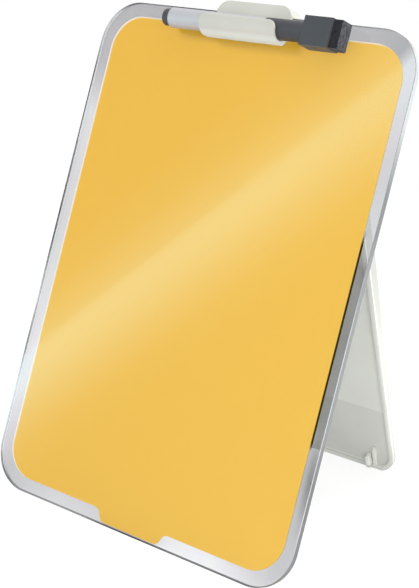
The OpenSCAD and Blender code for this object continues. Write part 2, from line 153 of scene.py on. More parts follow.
def field_outline(steps=24):
    """The coloured field with its tab, whose flanks are S-curves."""
    m, r = FIELD_MARGIN, FIELD_CORNER_R
    root_r, end_r = 5 * MM, 5 * MM
    x, low, top = BOARD_W / 2 - m - r, m + r, BOARD_H - m - r
    drop = m - TAB_GAP
    turn = math.degrees(math.acos(1 - drop / (root_r + end_r)))
    run = (root_r + end_r) * math.sin(math.radians(turn))
    half = (TAB_TOP_W + TAB_BOTTOM_W) / 4
    left_root, left_end = (-half - run / 2, m - root_r), (-half + run / 2, TAB_GAP + end_r)
    right_root, right_end = (half + run / 2, m - root_r), (half - run / 2, TAB_GAP + end_r)
    return (arc((-x, low), r, 180, 270, steps)
            + arc(left_root, root_r, 90, 90 - turn, 8)
            + arc(left_end, end_r, 270 - turn, 270, 8)
            + arc(right_end, end_r, 270, 270 + turn, 8)
            + arc(right_root, root_r, 90 + turn, 90, 8)
            + arc((x, low), r, 270, 360, steps)
            + arc((x, top), r, 0, 90, steps)
            + arc((-x, top), r, 90, 180, steps))


def inset_outline(points, d):
    """The outline drawn in by d, each point along the bisector of its two edges."""
    if d == 0:
        return points
    moved = []
    for i, p in enumerate(points):
        before = (p - points[i - 1]).normalized()
        after = (points[(i + 1) % len(points)] - p).normalized()
        inward = Vector((-before.y - after.y, before.x + after.x)).normalized()
        lean = max(0.5, inward.dot(Vector((-after.y, after.x))))
        moved.append(p + inward * d / lean)
    return moved


def without_doubles(points):
    return [p for i, p in enumerate(points) if (p - points[i - 1]).length > 1e-6]


def add_piece(name, verts, faces, axes=BOARD):
    """An object whose points are given in some axes and stored in the world's."""
    mesh = bpy.data.meshes.new(name)
    mesh.from_pydata([tuple(axes @ Vector(v)) for v in verts], [], faces)
    mesh.validate()
    piece = bpy.data.objects.new(name, mesh)
    bpy.context.scene.collection.objects.link(piece)
    return piece


def shade(piece, angle=35):
    piece.data.polygons.foreach_set("use_smooth", [True] * len(piece.data.polygons))
    piece.data.set_sharp_from_angle(angle=math.radians(angle))


def slab(name, outline, levels, bands=None):
    """A plate: the outline drawn in by each level's inset at its z, front first. bands gives
    the material index of the front face, of each band between two levels and of the back."""
    outline = without_doubles(outline)
    count = len(outline)
    verts, faces = [], [list(range(count))]
    for inset, z in levels:
        verts += [(p.x, p.y, z) for p in inset_outline(outline, inset)]
    for k in range(len(levels) - 1):
        a, b = k * count, (k + 1) * count
        faces += [[a + i, b + i, b + (i + 1) % count, a + (i + 1) % count] for i in range(count)]
    faces.append([len(verts) - 1 - i for i in range(count)])
    piece = add_piece(name, verts, faces)
    if bands:
        indices = [bands[0]]
        for band in bands[1:-1]:
            indices += [band] * count
        piece.data.polygons.foreach_set("material_index", indices + [bands[-1]])
    shade(piece)
    return piece


def lathe(name, profile, axis_from, sides=96):
    """A turned piece along x: profile gives (distance along the axis, radius)."""
    verts, faces = [], []
    for along, r in profile:
        for k in range(sides):
            a = 2 * math.pi * k / sides
            verts.append(axis_from + Vector((along, r * math.cos(a), r * math.sin(a))))
    for j in range(len(profile) - 1):
        for k in range(sides):
            a, b = j * sides + k, j * sides + (k + 1) % sides
            faces.append([a, a + sides, b + sides, b])
    faces.append([sides - 1 - k for k in range(sides)])
    faces.append([(len(profile) - 1) * sides + k for k in range(sides)])
    piece = add_piece(name, verts, faces)
    shade(piece)
    return piece


def tidy_copy(node, name):
    """A copy of a CAD node with its triangles merged to whole faces."""
    mesh = frame["nodes"][node].data.copy()
    mesh.name = name
    mesh.materials.clear()
    piece = bpy.data.objects.new(name, mesh)
    bpy.context.scene.collection.objects.link(piece)
    shape = bmesh.new()
    shape.from_mesh(mesh)
    bmesh.ops.remove_doubles(shape, verts=shape.verts, dist=2e-6)
    bmesh.ops.dissolve_limit(shape, angle_limit=math.radians(0.6), use_dissolve_boundaries=False,
                             verts=shape.verts, edges=shape.edges)
    shape.to_mesh(mesh)
    shape.free()
    for name_of in [a.name for a in mesh.attributes if a.name.startswith("custom_normal")]:
        mesh.attributes.remove(mesh.attributes[name_of])
    return piece


def weigh_edges(mesh, angle, weight_of):
    """Give each edge sharper than angle its share of the bevel's width."""
    shape = bmesh.new()
    shape.from_mesh(mesh)
    layer = shape.edges.layers.float.new("bevel_weight_edge")
    for edge in shape.edges:
        if len(edge.link_faces) == 2 and edge.calc_face_angle(0) > angle:
            edge[layer] = min(weight_of(v.co) for v in edge.verts)
    shape.to_mesh(mesh)
    shape.free()


def rounded_copy(node, name, width, segments=2, angle=32, weight_of=None):
    """A tidy copy with its sharp edges rounded as a mould rounds them."""
    piece = tidy_copy(node, name)
    shade(piece, angle)
    bevel = piece.modifiers.new("edges", "BEVEL")
    bevel.width = width
    bevel.segments = segments
    bevel.limit_method = "ANGLE"
    bevel.angle_limit = math.radians(angle)
    if weight_of:
        weigh_edges(piece.data, math.radians(angle), weight_of)
        bevel.limit_method = "WEIGHT"
    bevel.use_clamp_overlap = True
    bevel.harden_normals = True
    return piece


def finish_piece(piece, body, slot, *nodes, materials):
    """Give a piece its materials and body, and hide the CAD nodes it stands for. slot is not used."""
    for material in materials:
        piece.data.materials.append(material)
    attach(piece, body)
    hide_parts(*nodes)


# ---------------------------------------------------------------- material helpers

class Tree:
    """Short ways to add nodes to a material that reads its place in some axes."""

    def __init__(self, name, axes=TO_BOARD):
        self.material = bpy.data.materials.new(name)
        self.material.use_nodes = True
        self.tree = self.material.node_tree
        self.shader = self.tree.nodes["Principled BSDF"]
        self.output = self.tree.nodes["Material Output"]
        self.place = self.node("ShaderNodeTexCoord").outputs["Object"]
        if axes:
            turned = self.node("ShaderNodeMapping", vector_type="POINT")
            turned.inputs["Location"].default_value = axes.translation
            turned.inputs["Rotation"].default_value = axes.to_euler()
            self.link(self.place, turned.inputs["Vector"])
            self.place = turned.outputs["Vector"]

    def node(self, kind, **settings):
        made = self.tree.nodes.new(kind)
        for key, value in settings.items():
            setattr(made, key, value)
        return made

    def link(self, source, target):
        self.tree.links.new(source, target)

    def feed(self, target, value):
        if isinstance(value, bpy.types.NodeSocket):
            self.link(value, target)
        else:
            target.default_value = value

    def math(self, operation, *values):
        made = self.node("ShaderNodeMath", operation=operation)
        for socket, value in zip(made.inputs, values):
            self.feed(socket, value)
        return made.outputs[0]

    def times(self, first, *others):
        """The product of several values."""
        for other in others:
            first = self.math("MULTIPLY", first, other)
        return first

    def gap(self, value, from_value):
        """How far a value lies from another, either way."""
        return self.math("ABSOLUTE", self.math("SUBTRACT", value, from_value))

    def vector(self, operation, *values):
        made = self.node("ShaderNodeVectorMath", operation=operation)
        for socket, value in zip(made.inputs, values):
            self.feed(socket, value)
        return made.outputs["Value" if operation in ("LENGTH", "DOT_PRODUCT") else "Vector"]

    def scale(self, colour, by):
        """A colour times a plain value."""
        made = self.node("ShaderNodeVectorMath", operation="SCALE")
        self.feed(made.inputs["Vector"], colour)
        self.feed(made.inputs["Scale"], by)
        return made.outputs["Vector"]

    def axis(self, name):
        return self.node_out("ShaderNodeSeparateXYZ", self.place, name)

    def node_out(self, kind, source, output):
        made = self.node(kind)
        self.link(source, made.inputs[0])
        return made.outputs[output]

    def noise(self, size, detail=2.0, roughness=0.5, stretch=None):
        """Noise whose lumps are about size metres across."""
        made = self.node("ShaderNodeTexNoise")
        made.inputs["Scale"].default_value = 1 / size
        made.inputs["Detail"].default_value = detail
        made.inputs["Roughness"].default_value = roughness
        place = self.place
        if stretch:
            place = self.vector("MULTIPLY", place, stretch)
        self.link(place, made.inputs["Vector"])
        return made.outputs["Fac"]

    def ramp(self, value, stops):
        """Colours or plain values at rising positions from 0 to 1."""
        made = self.node("ShaderNodeValToRGB")
        elements = made.color_ramp.elements
        while len(elements) < len(stops):
            elements.new(1)
        for element, (position, colour) in zip(elements, stops):
            element.position = position
            flat = isinstance(colour, (int, float))
            element.color = (colour, colour, colour, 1) if flat else (*colour, 1)
        self.feed(made.inputs["Fac"], value)
        return made.outputs["Color"]

    def map(self, value, low, high, to_low=0.0, to_high=1.0, smooth=False):
        """A value's place between low and high, held there, as one between two others."""
        made = self.node("ShaderNodeMapRange")
        made.interpolation_type = "SMOOTHSTEP" if smooth else "LINEAR"
        self.feed(made.inputs["Value"], value)
        for key, number in (("From Min", low), ("From Max", high),
                            ("To Min", to_low), ("To Max", to_high)):
            made.inputs[key].default_value = number
        return made.outputs["Result"]

    def mix(self, factor, a, b, blend="MIX"):
        made = self.node("ShaderNodeMix", data_type="RGBA", blend_type=blend)
        self.feed(made.inputs["Factor"], factor)
        self.feed(made.inputs["A"], a if isinstance(a, bpy.types.NodeSocket) else (*a, 1))
        self.feed(made.inputs["B"], b if isinstance(b, bpy.types.NodeSocket) else (*b, 1))
        return made.outputs["Result"]

    def tint(self, colour, by):
        """A colour times another."""
        return self.mix(1.0, colour, by, "MULTIPLY")

    def bump(self, height, distance):
        made = self.node("ShaderNodeBump")
        made.inputs["Distance"].default_value = distance
        self.link(height, made.inputs["Height"])
        return made.outputs["Normal"]

    def seen_plainly(self):
        """One for what the camera, a mirror or glass sees, nothing for soft light."""
        rays = self.node("ShaderNodeLightPath").outputs
        mirrored = self.math("MAXIMUM", rays["Is Glossy Ray"], rays["Is Transmission Ray"])
        return self.math("MAXIMUM", rays["Is Camera Ray"], mirrored)

    def set(self, **values):
        """Set the shader's sockets: a space in a socket's name is written as _."""
        for key, value in values.items():
            self.feed(self.shader.inputs[key.replace("_", " ")], value)

    def blend(self, factor, first, second):
        """Two surfaces mixed by a factor."""
        made = self.node("ShaderNodeMixShader")
        for socket, source in zip(made.inputs, (factor, first, second)):
            self.link(source, socket)
        return made.outputs[0]

    def show(self, surface):
        self.link(surface, self.output.inputs["Surface"])


def tone(colour, by):
    """A written colour made paler or darker."""
    return tuple(c * by for c in colour)


def from_edge(t, w, low, high, r):
    """How far a place lies inside a rectangle with round corners, true within r of its edge."""
    middle, half = (low + high) / 2, (high - low) / 2
    up = t.gap(t.axis("Y"), middle)
    corner = t.node("ShaderNodeCombineXYZ")
    x_past = t.math("SUBTRACT", t.math("ABSOLUTE", t.axis("X")), w / 2 - r)
    t.link(t.math("MAXIMUM", x_past, 0), corner.inputs[0])
    t.link(t.math("MAXIMUM", t.math("SUBTRACT", up, half - r), 0), corner.inputs[1])
    return t.math("SUBTRACT", r, t.vector("LENGTH", corner.outputs[0]))


def round_the_board(t):
    """How far round the board a place lies: 0 at the middle of the bottom edge, a quarter at
    the middle of the right one, a half at the middle of the top."""
    x = t.math("DIVIDE", t.axis("X"), BOARD_W / 2)
    y = t.math("DIVIDE", t.math("SUBTRACT", t.axis("Y"), BOARD_H / 2), BOARD_H / 2)
    turn = t.math("DIVIDE", t.math("ARCTAN2", y, x), 2 * math.pi)
    return t.math("FRACT", t.math("ADD", turn, 1.25))


# ---------------------------------------------------------------- materials

def mottled(t, colour, cloud=0.03, speck_share=0.25, speck_tone=0.82):
    """The colour of a moulding: faint clouds of tone and a few darker specks."""
    clouds = t.noise(18 * MM, detail=3)
    specks = t.noise(0.6 * MM, detail=2)
    base = t.mix(t.map(clouds, 0.3, 0.7), tone(colour, 1 - cloud), tone(colour, 1 + cloud))
    return t.mix(t.map(specks, 0.62, 0.8, 0, speck_share), base, tone(colour, speck_tone))


def mould(t, base, roughness, grain):
    """The skin of a moulding: a fine eroded grain, scuffs in its shine."""
    scuffs = t.noise(5 * MM, detail=5, roughness=0.65, stretch=(1, 0.35, 1))
    t.set(Base_Color=base, Roughness=t.map(scuffs, 0.3, 0.75, roughness - 0.05, roughness + 0.09))
    t.set(Normal=t.bump(t.noise(grain, detail=3, roughness=0.6), 0.012 * MM), IOR=1.47)
    return t.material


def moulded_plastic(name, colour, roughness, grain=0.35 * MM, painted_light_depth=None, low=None):
    """Moulded plastic. lift gives two depths in the board's axes and how much paler it is painted at the
    second one, as painted light; low gives two heights and the colour painted at the second one, also as
    painted light."""
    t = Tree(name)
    base = mottled(t, colour)
    if painted_light_depth:
        base = t.scale(base, t.map(t.axis("Z"), painted_light_depth[0], painted_light_depth[1], 1.0, painted_light_depth[2]))
    if low:
        base = t.mix(t.map(t.axis("Y"), low[0], low[1]), base, low[2])
    return mould(t, base, roughness, grain)


def stand_plastic():
    """The stand's cream plastic, with painted shade below the crease of its tray and along the inside of its
    rim, and painted light on its foot, its rim and its ribs.
    """
    t = Tree("cream_stand", TO_STAND)
    x, y, z = t.axis("X"), t.axis("Y"), t.axis("Z")
    foot_y, floor_z, rim_z = -STAND_LEN, 2.5 * MM, 3.5 * MM
    base = mottled(t, STAND_CREAM_PAINTED_LIGHT, 0.02, 0.2, 0.85)
    # How far a place lies inside the rim's inner edge: less than nothing on the rim.
    inside = from_edge(t, STAND_W - 2 * RIM_W, RIM_W + foot_y, STAND_LEN, STAND_CORNER_R - RIM_W)
    # Painted shade on the tray's floor: darker below the crease, where the floor tilts further down, and in
    # a band and a thin line along the rim's inner edge.
    on_floor = t.times(t.map(inside, 0, 0.1 * MM), t.map(z, floor_z - 0.8 * MM, floor_z - 0.5 * MM))
    tray_painted_shade = t.times(t.map(y, CREASE + foot_y, CREASE + foot_y - 0.4 * MM, 1.0, 0.87),
                  t.map(inside, 0, 3.2 * MM, 0.91, 1.0, smooth=True),
                  t.map(inside, 0.35 * MM, 0.7 * MM, 0.90, 1.0))
    base = t.mix(on_floor, base, t.scale(base, tray_painted_shade))
    # Painted light: the foot is lighter towards the board, and a painted highlight lies on the outer half of
    # the rim.
    foot = t.times(t.map(y, foot_y, foot_y + 28 * MM, 0.13, 0.0), t.map(x, 50 * MM, 10 * MM))
    rim = t.times(t.map(inside, -1.0 * MM, -2.0 * MM, 0.04, 0.26),
                  t.map(y, foot_y + 12 * MM, foot_y + 28 * MM),
                  t.map(y, -85 * MM, -125 * MM, 0.2, 1.0))
    base = t.scale(base, t.math("ADD", 1.0, t.math("MAXIMUM", foot, rim)))
    # Its flanks face the lamps and are held back from white.
    flank = t.times(t.map(inside, 0.4 * MM - RIM_W, 0.1 * MM - RIM_W),
                    t.map(z, rim_z - 0.7 * MM, rim_z - 1.7 * MM))
    base = t.scale(base, t.map(flank, 0, 1, 1.0, 0.74))
    # Painted highlights: the ribs near its lower corners are paler, the inner one of each pair most.
    on_rib = t.times(t.map(inside, 0.6 * MM, 1 * MM), t.map(z, 2.8 * MM, 3.4 * MM))
    outer = t.map(x, 66.5 * MM, 67.5 * MM)
    base = t.mix(on_rib, base, t.mix(outer, (0.93, 0.93, 0.89), (0.81, 0.82, 0.77)))
    return mould(t, base, 0.43, 0.35 * MM)


# Painted light and shade of the glass round the board, each at its share of the way round (round_the_board).
BORDER_PAINTED_SHADING = [
    (0.0, 0.62), (0.044, 0.87), (0.08, 0.87), (0.125, 0.54), (0.148, 0.51), (0.162, 0.43),
    (0.178, 0.46), (0.181, 0.62), (0.186, 0.60), (0.189, 0.50), (0.214, 0.42), (0.235, 0.37),
    (0.255, 0.40), (0.279, 0.44), (0.283, 0.64), (0.33, 0.62), (0.374, 0.67), (0.376, 0.36),
    (0.402, 0.46), (0.60, 0.43), (0.645, 0.47), (0.668, 0.73), (0.74, 0.64), (0.838, 0.67),
    (0.876, 0.50), (0.92, 0.68), (1.0, 0.62)]
EDGE_PAINTED_SHADING = [
    (0.0, 0.02), (0.022, 0.06), (0.05, 0.20), (0.10, 0.14), (0.125, 0.06), (0.37, 0.30),
    (0.42, 0.26), (0.56, 0.09), (0.597, 0.18), (0.611, 0.07), (0.625, 0.42), (0.638, 0.50),
    (0.65, 0.05), (0.70, 0.14), (0.727, 0.03), (0.757, 0.10), (0.786, 0.72), (0.814, 0.08),
    (0.838, 0.70), (0.86, 0.60), (0.8765, 0.02), (0.889, 0.28), (0.93, 0.38), (0.955, 0.30),
    (0.978, 0.04), (1.0, 0.02)]
# Where the sheen lies over the border, counted the same way.
UNDER_SHEEN = [
    (0.315, 0.0), (0.335, 0.8), (0.35, 1.0), (0.37, 1.0), (0.39, 0.5), (0.43, 0.0),
    (0.78, 0.0), (0.81, 1.0), (0.86, 1.0), (0.885, 0.0)]
# Painted light and shade of the glass's right side and of the seamed edge there, from the bottom to the top.
RIGHT_SIDE_PAINTED_SHADING = [
    (0.0, 0.08), (0.06, 0.17), (0.20, 0.155), (0.30, 0.25), (0.60, 0.275), (0.65, 0.205),
    (0.72, 0.205), (0.79, 0.38), (0.84, 0.58), (1.0, 0.60)]
RIGHT_ARRIS_PAINTED_SHADING = [
    (0.0, 0.05), (0.045, 0.12), (0.12, 0.75), (0.42, 0.76), (0.50, 0.64), (0.54, 0.42),
    (0.585, 0.35), (0.60, 0.20), (0.68, 0.26), (0.80, 0.25), (1.0, 0.16)]
# Where a line of painted shade runs beside the coloured field's right edge, and how wide it is.
PAINTED_SHADE_LINE_FROM, PAINTED_SHADE_LINE_TO = 83 * MM, 203 * MM
PAINTED_SHADE_LINE_W = 1.3 * MM


def glass_shader(t, surface=None):
    """Clear glass for what looks through it; lamps and soft light pass straight."""
    t.set(Transmission_Weight=1.0, IOR=GLASS_IOR)
    path = t.node("ShaderNodeLightPath")
    straight = t.math("MAXIMUM", path.outputs["Is Shadow Ray"], path.outputs["Is Diffuse Ray"])
    clear = t.node("ShaderNodeBsdfTransparent")
    clear.inputs["Color"].default_value = (0.97, 0.975, 0.975, 1)
    t.show(t.blend(straight, surface or t.shader.outputs[0], clear.outputs[0]))
    return t.material


def painted_shade_line(t, shift=0.0):
    """Where a dark line of painted shade shows beside the coloured field's right edge, where the stand lies
    behind.
    """
    start = BOARD_W / 2 - FIELD_MARGIN + shift
    end = start + PAINTED_SHADE_LINE_W
    x, y = t.axis("X"), t.axis("Y")
    up = t.times(t.map(y, PAINTED_SHADE_LINE_FROM - 2 * MM, PAINTED_SHADE_LINE_FROM + 2 * MM),
                 t.map(y, PAINTED_SHADE_LINE_TO, PAINTED_SHADE_LINE_TO - 8 * MM))
    return t.times(up, t.times(t.map(x, start - 0.05 * MM, start), t.map(x, end, end - 0.05 * MM)))


def clear_glass():
    """The polished front: a few faint wipe marks in its shine."""
    t = Tree("clear_glass")
    wipes = t.noise(9 * MM, detail=4, stretch=(0.3, 1, 1))
    t.set(Base_Color=WHITE, Roughness=t.map(wipes, 0.55, 0.8, 0.0, 0.03))
    # No reflection lies over the line of painted shade, which shows shifted through the glass.
    shift = 1.42 * MM
    bare = t.node("ShaderNodeBsdfRefraction")
    bare.inputs["IOR"].default_value = GLASS_IOR
    bare.inputs["Roughness"].default_value = 0.0
    return glass_shader(t, t.blend(painted_shade_line(t, shift), t.shader.outputs[0], bare.outputs[0]))


def glass_back():
    """The back of the glass: its clear border takes tints of painted light and shade that change along it.
    """
    t = Tree("glass_back")
    x, y, around = t.axis("X"), t.axis("Y"), round_the_board(t)
    streaks = t.noise(14 * MM, detail=2, stretch=(1, 0.5, 1))
    hue = t.mix(t.map(streaks, 0.35, 0.65), (0.97, 0.985, 1.0), (0.995, 0.985, 1.04))
    tint = t.tint(t.ramp(around, BORDER_PAINTED_SHADING), hue)
    # The sheen lies on it in two places, where the tint is painted warmer under it.
    tint = t.mix(t.ramp(around, UNDER_SHEEN), tint, t.tint(tint, (1.02, 0.92, 0.945)))
    # Low on the right it darkens towards its outer edge, as painted shade.
    start = BOARD_W / 2 - FIELD_MARGIN
    painted_shade_outward = t.times(t.map(t.gap(around, 0.164), 0, 0.024, 0.47, 0),
                      t.map(x, start + 1.8 * MM, start + 4.6 * MM))
    tint = t.scale(tint, t.math("SUBTRACT", 1.0, painted_shade_outward))
    # A thin grey line of painted shade runs along its lowest part.
    edge = from_edge(t, BOARD_W, 0, BOARD_H, GLASS_CORNER_R)
    rim = t.times(t.map(edge, 0.75 * MM, 0.55 * MM), t.map(y, 20 * MM, 8 * MM))
    tint = t.mix(rim, tint, (0.20, 0.20, 0.21))
    # The line of painted shade is opaque.
    line = painted_shade_line(t)
    tint = t.mix(line, tint, (0.19, 0.15, 0.05))
    t.set(Base_Color=t.tint(tint, tint), Roughness=0.0)
    glass_shader(t)
    t.set(Specular_IOR_Level=t.map(line, 0, 1, 0.5, 0), Transmission_Weight=t.map(line, 0, 1, 1, 0))
    return t.material


def on_ends(t):
    """Where the edge of the glass runs round its top and its bottom."""
    from_middle = t.gap(t.axis("Y"), BOARD_H / 2)
    return t.map(from_middle, BOARD_H / 2 - 9 * MM, BOARD_H / 2 - 3 * MM)


def glass_side():
    """The edge of the glass: ground grey on the right with painted light and shade up it, clear elsewhere
    behind a dark line of painted shade.
    """
    t = Tree("glass_side")
    right = t.ramp(t.map(t.axis("Y"), 0, BOARD_H), RIGHT_SIDE_PAINTED_SHADING)
    line = t.ramp(round_the_board(t), EDGE_PAINTED_SHADING)
    on_right = t.map(t.axis("X"), 0.45 * BOARD_W, 0.48 * BOARD_W)
    ground = t.node("ShaderNodeBsdfPrincipled")
    t.feed(ground.inputs["Base Color"], t.tint(t.mix(on_right, line, right), (0.95, 1.0, 1.03)))
    t.feed(ground.inputs["Roughness"], t.map(t.noise(3 * MM, detail=4), 0.3, 0.7, 0.3, 0.45))
    t.feed(ground.inputs["Normal"], t.bump(t.noise(0.4 * MM, detail=2), 0.01 * MM))
    t.feed(ground.inputs["Specular IOR Level"], t.times(on_right, 0.5))
    t.set(Base_Color=(0.93, 0.95, 0.95, 1), Roughness=0.02)
    near_front = t.map(t.axis("Z"), -2.6 * MM, -2.0 * MM)
    how_ground = t.math("MAXIMUM", on_right, t.math("MAXIMUM", near_front, on_ends(t)))
    return glass_shader(t, t.blend(how_ground, t.shader.outputs[0], ground.outputs[0]))


def glass_arris():
    """The seamed edge between the faces and the side: fine-ground, with painted light and shade round it,
    painted pale along the right.
    """
    t = Tree("glass_arris")
    right = t.ramp(t.map(t.axis("Y"), 0, BOARD_H), RIGHT_ARRIS_PAINTED_SHADING)
    line = t.ramp(round_the_board(t), EDGE_PAINTED_SHADING)
    on_right = t.map(t.axis("X"), 0.44 * BOARD_W, 0.47 * BOARD_W)
    behind = t.times(t.map(t.axis("Z"), -2 * MM, -3 * MM), t.math("SUBTRACT", 1.0, on_ends(t)))
    base = t.mix(behind, t.mix(on_right, line, right), (0.66, 0.67, 0.68))
    grain = t.noise(0.25 * MM)
    t.set(Base_Color=base, Roughness=t.map(grain, 0.3, 0.7, 0.35, 0.5), IOR=GLASS_IOR)
    t.set(Normal=t.bump(grain, 0.01 * MM), Specular_IOR_Level=t.times(on_right, 0.5))
    return t.material


def colour_coat():
    """The yellow coat under the glass: the faintest print mottle, painted light that makes it paler towards
    its lower right, and a line of painted shade beside its right edge.
    """
    t = Tree("colour_coat")
    # Painted light: the coat is paler towards its lower right.
    across = t.map(t.vector("DOT_PRODUCT", t.place, (0.70, -0.71, 0)), -0.28, 0.06)
    base = t.mix(across, (0.805, 0.445, 0.020), (0.805, 0.482, 0.050))
    mottle = t.noise(2.5 * MM, detail=3)
    base = t.mix(t.map(mottle, 0.4, 0.7, 0, 0.5), base, (0.80, 0.465, 0.040))
    # It thins out to the white behind it along its left and upper edge.
    inside = from_edge(t, BOARD_W - 2 * FIELD_MARGIN, FIELD_MARGIN, BOARD_H - FIELD_MARGIN,
                       FIELD_CORNER_R)
    thin = t.times(t.map(inside, 0.75 * MM, 0.35 * MM, 0, 0.8),
                   t.map(t.axis("Y"), 18 * MM, 30 * MM), t.map(t.axis("X"), 95 * MM, 85 * MM))
    base = t.mix(thin, base, (0.84, 0.74, 0.60))
    # A line of painted shade beside the right edge, where the stand lies behind.
    base = t.mix(painted_shade_line(t), base, (0.02, 0.012, 0.001))
    # What it throws back on the clip and pen is paler than it looks.
    bounced = t.node("ShaderNodeLightPath").outputs["Is Diffuse Ray"]
    base = t.mix(t.times(bounced, 0.8), base, (0.50, 0.48, 0.45))
    t.set(Base_Color=base, Roughness=t.map(t.noise(1 * MM), 0.3, 0.7, 0.5, 0.6))
    t.set(Specular_IOR_Level=0.2)
    return t.material


def undercoat():
    """The white coat printed behind the yellow, seen as a fine line beside it."""
    t = Tree("white_undercoat")
    mottle = t.noise(2 * MM, detail=3)
    base = t.mix(t.map(mottle, 0.4, 0.7), (0.84, 0.74, 0.62), (0.87, 0.78, 0.67))
    t.set(Base_Color=base, Roughness=t.map(t.noise(1 * MM), 0.3, 0.7, 0.5, 0.62))
    return t.material


def coated_steel():
    """Thin steel with a pale grey baked coat, slightly orange-peeled and rubbed."""
    t = Tree("coated_steel")
    clouds = t.noise(30 * MM, detail=4)
    base = t.mix(t.map(clouds, 0.3, 0.7), (0.56, 0.57, 0.57), (0.62, 0.62, 0.61))
    rubs = t.noise(4 * MM, detail=5, roughness=0.7, stretch=(1, 0.15, 1))
    t.set(Base_Color=t.mix(t.map(rubs, 0.66, 0.8, 0, 0.5), base, (0.72, 0.72, 0.71)))
    t.set(Roughness=t.map(rubs, 0.3, 0.75, 0.34, 0.5))
    t.set(Normal=t.bump(t.noise(1.4 * MM, detail=2), 0.02 * MM))
    return t.material


def steel_edge():
    """The edge of the coat and of the sheet: brown, painted dark between two heights as shade where the
    stand lies behind.
    """
    t = Tree("steel_edge")
    up = t.map(t.axis("Y"), 0, BOARD_H)
    brown = t.ramp(up, [(0.265, (0.5, 0.37, 0.15)), (0.275, (0.07, 0.045, 0.012)),
                        (0.63, (0.08, 0.05, 0.015)), (0.65, (0.5, 0.38, 0.16))])
    specks = t.noise(0.8 * MM, detail=3)
    t.set(Base_Color=t.mix(t.map(specks, 0.45, 0.7, 0, 0.3), brown, (0.10, 0.06, 0.02)))
    t.set(Roughness=t.map(specks, 0.3, 0.7, 0.45, 0.65))
    return t.material


def foam_tape():
    """Black closed-cell foam tape with open cells on its cut edge."""
    t = Tree("foam_tape")
    cells = t.node("ShaderNodeTexVoronoi")
    cells.inputs["Scale"].default_value = 1 / (0.35 * MM)
    t.link(t.place, cells.inputs["Vector"])
    gap = cells.outputs["Distance"]
    t.set(Base_Color=t.mix(t.map(gap, 0.1, 0.6), (0.012, 0.012, 0.013), (0.035, 0.035, 0.037)))
    t.set(Roughness=t.map(gap, 0, 0.7, 0.7, 0.9), Normal=t.bump(gap, 0.05 * MM))
    return t.material


def turned_steel(name, colour, roughness):
    """Bright steel with drawing marks round and along it."""
    t = Tree(name)
    marks = t.noise(0.5 * MM, detail=4, stretch=(0.06, 1, 1))
    stains = t.noise(3 * MM, detail=3)
    t.set(Base_Color=t.mix(t.map(stains, 0.4, 0.75), colour, tone(colour, 0.78)), Metallic=1.0)
    t.set(Roughness=t.map(marks, 0.3, 0.7, roughness - 0.08, roughness + 0.1))
    t.set(Normal=t.bump(marks, 0.01 * MM))
    return t.material


def silver_barrel():
    """Silver lacquer: tiny metal flakes in a satin coat."""
    t = Tree("silver_lacquer")
    flakes = t.noise(0.12 * MM, detail=1)
    clouds = t.noise(12 * MM, detail=3)
    base = t.mix(t.map(flakes, 0.4, 0.65), (0.46, 0.46, 0.485), (0.55, 0.545, 0.575))
    base = t.mix(t.map(clouds, 0.4, 0.75, 0, 0.3), base, (0.43, 0.44, 0.46))
    rubs = t.noise(3 * MM, detail=4, stretch=(0.3, 1, 1))
    t.set(Base_Color=base, Metallic=0.35, Roughness=t.map(rubs, 0.3, 0.75, 0.36, 0.5))
    t.set(Normal=t.bump(flakes, 0.003 * MM))
    return t.material


def felt(name, dark, pale, size=1.4 * MM):
    """Pressed felt: tangled fibres, paler where they stand up, and painted light on a right end, where they
    are painted much paler still.
    """
    t = Tree(name)
    tangle = t.noise(size, detail=6, roughness=0.75)
    strands = t.noise(0.35 * size, detail=3, stretch=(1, 0.25, 1))
    both = t.math("MULTIPLY_ADD", strands, 0.5, t.times(tangle, 0.6))
    # Painted light: fibres on a right-facing end are painted paler, as lit from the right.
    facing = t.node("ShaderNodeNewGeometry").outputs["Normal"]
    right = t.map(t.vector("DOT_PRODUCT", facing, (1, 0, 0)), 0.3, 0.9)
    base = t.mix(t.map(both, 0.42, 0.68), dark, pale)
    fibres_painted_lit = t.map(both, 0.45, 0.62)
    base = t.mix(t.times(right, fibres_painted_lit), base, tone(pale, 3.4))
    t.set(Base_Color=base, Roughness=t.map(both, 0.3, 0.7, 0.8, 0.95))
    t.set(Normal=t.bump(both, 0.3 * MM), Sheen_Weight=0.12, Sheen_Roughness=0.5)
    t.set(Specular_IOR_Level=0.2)
    return t.material


def reservoir_fibre():
    """White bonded fibre, its strands along the pen."""
    t = Tree("reservoir_fibre")
    strands = t.noise(0.4 * MM, detail=3, stretch=(0.05, 1, 1))
    base = t.mix(t.map(strands, 0.35, 0.7), (0.55, 0.55, 0.53), (0.82, 0.82, 0.80))
    t.set(Base_Color=base, Roughness=t.map(strands, 0.3, 0.7, 0.4, 0.7))
    t.set(Normal=t.bump(strands, 0.03 * MM))
    return t.material


# ---------------------------------------------------------------- the board

